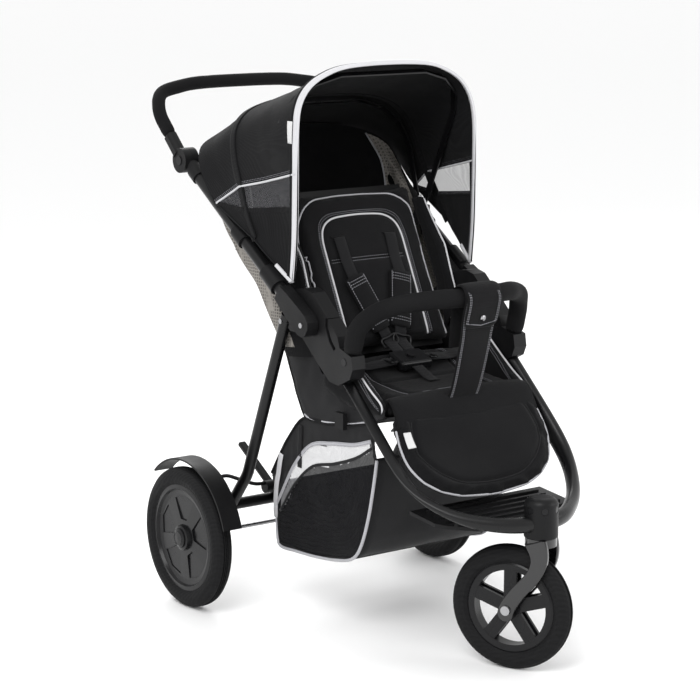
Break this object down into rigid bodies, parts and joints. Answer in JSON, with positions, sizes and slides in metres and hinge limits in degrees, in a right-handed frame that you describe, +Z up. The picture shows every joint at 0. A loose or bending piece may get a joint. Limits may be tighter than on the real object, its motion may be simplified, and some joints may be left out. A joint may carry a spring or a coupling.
{
  "type": "jogging stroller",
  "caption": "Folding three-wheel jogging stroller with swivel front wheel, padded seat, sun canopy, bumper bar, adjustable push handle and storage basket.",
  "frame": {"origin": "on the floor under the middle of the bounding box", "axes": "+Z up, the stroller drives towards -Y, +X is the child's left side"},
  "size_m": [0.6384, 1.0257, 1.044],
  "materials": {
    "frame_paint": "satin black enamel",
    "steel": "plain steel",
    "plastic": "fine-grained moulded plastic",
    "plastic_gloss": "smooth plastic",
    "fork_gloss": "glossy black moulding",
    "foam": "closed-cell foam sleeve",
    "tyre": "matt moulded tyre",
    "fabric_black": "woven polyester",
    "canopy_cloth": "woven polyester",
    "webbing": "narrow woven webbing"
  },
  "bodies": {
    "front_frame": {"front_tube": "frame_paint", "front_housing": "plastic", "housing_plugs": "plastic_gloss", "hinge_bracket_right": "plastic", "hinge_bracket_left": "plastic", "pivot_bolts": "steel", "foot_plate": "plastic", "seat_cushion": "fabric_black", "seat_side_panels": "fabric_black", "lap_straps": "webbing", "buckle_housing": "plastic", "seat_clips": "plastic", "basket": "fabric_black", "basket_board": "plastic"},
    "rear_frame": {"rear_leg_right": "frame_paint", "rear_leg_left": "frame_paint", "rear_cross_tube": "frame_paint", "rear_axle_rod": "steel", "wheel_brackets": "plastic", "fenders": "plastic", "brake_saddle": "steel"},
    "rear_wheel_right": {"rear_tyre_right": "tyre", "rear_rim_right": "plastic", "rear_hub_cap_right": "plastic"},
    "rear_wheel_left": {"rear_tyre_left": "tyre", "rear_rim_left": "plastic", "rear_hub_cap_left": "plastic"},
    "fork": {"front_fork": "fork_gloss", "front_axle": "steel"},
    "front_wheel": {"front_rim": "plastic", "front_tyre": "tyre"},
    "brake": {"brake_lever": "plastic"},
    "push_frame": {"push_tube_right": "frame_paint", "push_tube_left": "frame_paint", "hinge_shoe_right": "plastic", "hinge_shoe_left": "plastic", "handle_joint_housings": "plastic", "canopy_clamps": "plastic"},
    "lock_sleeve_right": {"fold_lock_sleeve_right": "plastic"},
    "lock_sleeve_left": {"fold_lock_sleeve_left": "plastic"},
    "handle": {"handle_tube": "frame_paint", "handle_grip": "foam", "handle_discs": "plastic"},
    "handle_button_right": {"handle_button_right": "plastic"},
    "handle_button_left": {"handle_button_left": "plastic"},
    "canopy_mid": {"canopy_mid_bow": "plastic", "canopy_rear_panel": "canopy_cloth"},
    "canopy_front": {"canopy_front_bow": "plastic", "canopy_front_panel": "canopy_cloth"},
    "backrest": {"backrest_board": "plastic", "backrest_cushion": "fabric_black", "backrest_wings": "fabric_black", "shoulder_pads": "fabric_black"},
    "leg_rest": {"leg_rest": "fabric_black"},
    "bumper": {"bumper_bar": "frame_paint", "bumper_foam": "foam", "crotch_strap": "fabric_black"},
    "bumper_button_right": {"bumper_button_right": "plastic"},
    "bumper_button_left": {"bumper_button_left": "plastic"},
    "buckle_button": {"buckle_button": "plastic"}
  },
  "joints": [
    {"name": "fold", "type": "hinge", "parent": "front_frame", "child": "push_frame", "pos_m": [0, -0.0486, 0.583], "axis": [1, 0, 0], "range_deg": [0, 150]},
    {"name": "rear_leg_fold", "type": "hinge", "parent": "front_frame", "child": "rear_frame", "pos_m": [0, 0.0464, 0.575], "axis": [1, 0, 0], "range_deg": [-45, 0], "deforming": ["basket"]},
    {"name": "rear_wheel_right_spin", "type": "hinge", "parent": "rear_frame", "child": "rear_wheel_right", "pos_m": [-0.295, 0.2364, 0.136], "axis": [1, 0, 0], "continuous": true},
    {"name": "rear_wheel_left_spin", "type": "hinge", "parent": "rear_frame", "child": "rear_wheel_left", "pos_m": [0.295, 0.2364, 0.136], "axis": [1, 0, 0], "continuous": true},
    {"name": "fork_swivel", "type": "hinge", "parent": "front_frame", "child": "fork", "pos_m": [0, -0.4562, 0.24], "axis": [0, 0, 1], "continuous": true},
    {"name": "front_wheel_spin", "type": "hinge", "parent": "fork", "child": "front_wheel", "pos_m": [-0.02353, -0.40983, 0.113], "axis": [0.8918, 0.4524, 0], "continuous": true},
    {"name": "brake_press", "type": "hinge", "parent": "rear_frame", "child": "brake", "pos_m": [-0.122, 0.2064, 0.217], "axis": [1, 0, 0], "range_deg": [-14, 0]},
    {"name": "lock_release_right", "type": "slide", "parent": "push_frame", "child": "lock_sleeve_right", "axis": [0, 0.8374, 0.5465], "range_m": [0, 0.018], "stiffness_N_per_m": 300, "springref_m": -0.008},
    {"name": "lock_release_left", "type": "slide", "parent": "push_frame", "child": "lock_sleeve_left", "axis": [0, 0.8374, 0.5465], "range_m": [0, 0.018], "stiffness_N_per_m": 300, "springref_m": -0.008},
    {"name": "handle_angle", "type": "hinge", "parent": "push_frame", "child": "handle", "pos_m": [0, 0.3544, 0.846], "axis": [1, 0, 0], "range_deg": [-75, 25]},
    {"name": "handle_button_right_press", "type": "slide", "parent": "handle", "child": "handle_button_right", "axis": [1, 0, 0], "range_m": [0, 0.003], "stiffness_N_per_m": 400, "springref_m": -0.002},
    {"name": "handle_button_left_press", "type": "slide", "parent": "handle", "child": "handle_button_left", "axis": [-1, 0, 0], "range_m": [0, 0.003], "stiffness_N_per_m": 400, "springref_m": -0.002},
    {"name": "canopy_mid_fold", "type": "hinge", "parent": "push_frame", "child": "canopy_mid", "pos_m": [0, 0.1504, 0.738], "axis": [1, 0, 0], "range_deg": [-40, 0], "deforming": ["canopy_rear_panel"]},
    {"name": "canopy_fold", "type": "hinge", "parent": "canopy_mid", "child": "canopy_front", "pos_m": [0, 0.1504, 0.738], "axis": [1, 0, 0], "range_deg": [-40, 0], "deforming": ["canopy_front_panel"]},
    {"name": "backrest_recline", "type": "hinge", "parent": "front_frame", "child": "backrest", "pos_m": [0, -0.0036, 0.5], "axis": [1, 0, 0], "range_deg": [-22, 0]},
    {"name": "leg_rest_lift", "type": "hinge", "parent": "front_frame", "child": "leg_rest", "pos_m": [0, -0.2296, 0.44], "axis": [1, 0, 0], "range_deg": [-25, 0]},
    {"name": "bumper_pull_off", "type": "slide", "parent": "front_frame", "child": "bumper", "axis": [0, -0.2588, 0.9659], "range_m": [0, 0.025]},
    {"name": "bumper_button_right_press", "type": "slide", "parent": "front_frame", "child": "bumper_button_right", "axis": [1, 0, 0], "range_m": [0, 0.0015], "stiffness_N_per_m": 400, "springref_m": -0.002},
    {"name": "bumper_button_left_press", "type": "slide", "parent": "front_frame", "child": "bumper_button_left", "axis": [-1, 0, 0], "range_m": [0, 0.0015], "stiffness_N_per_m": 400, "springref_m": -0.002},
    {"name": "buckle_press", "type": "slide", "parent": "front_frame", "child": "buckle_button", "axis": [0, 0.342, -0.9397], "range_m": [0, 0.0025], "stiffness_N_per_m": 400, "springref_m": -0.002}
  ],
  "couplings": [
    {"joint": "rear_leg_fold", "follows": "fold", "ratio": -0.3},
    {"joint": "canopy_mid_fold", "follows": "fold", "ratio": -0.26667}
  ]
}
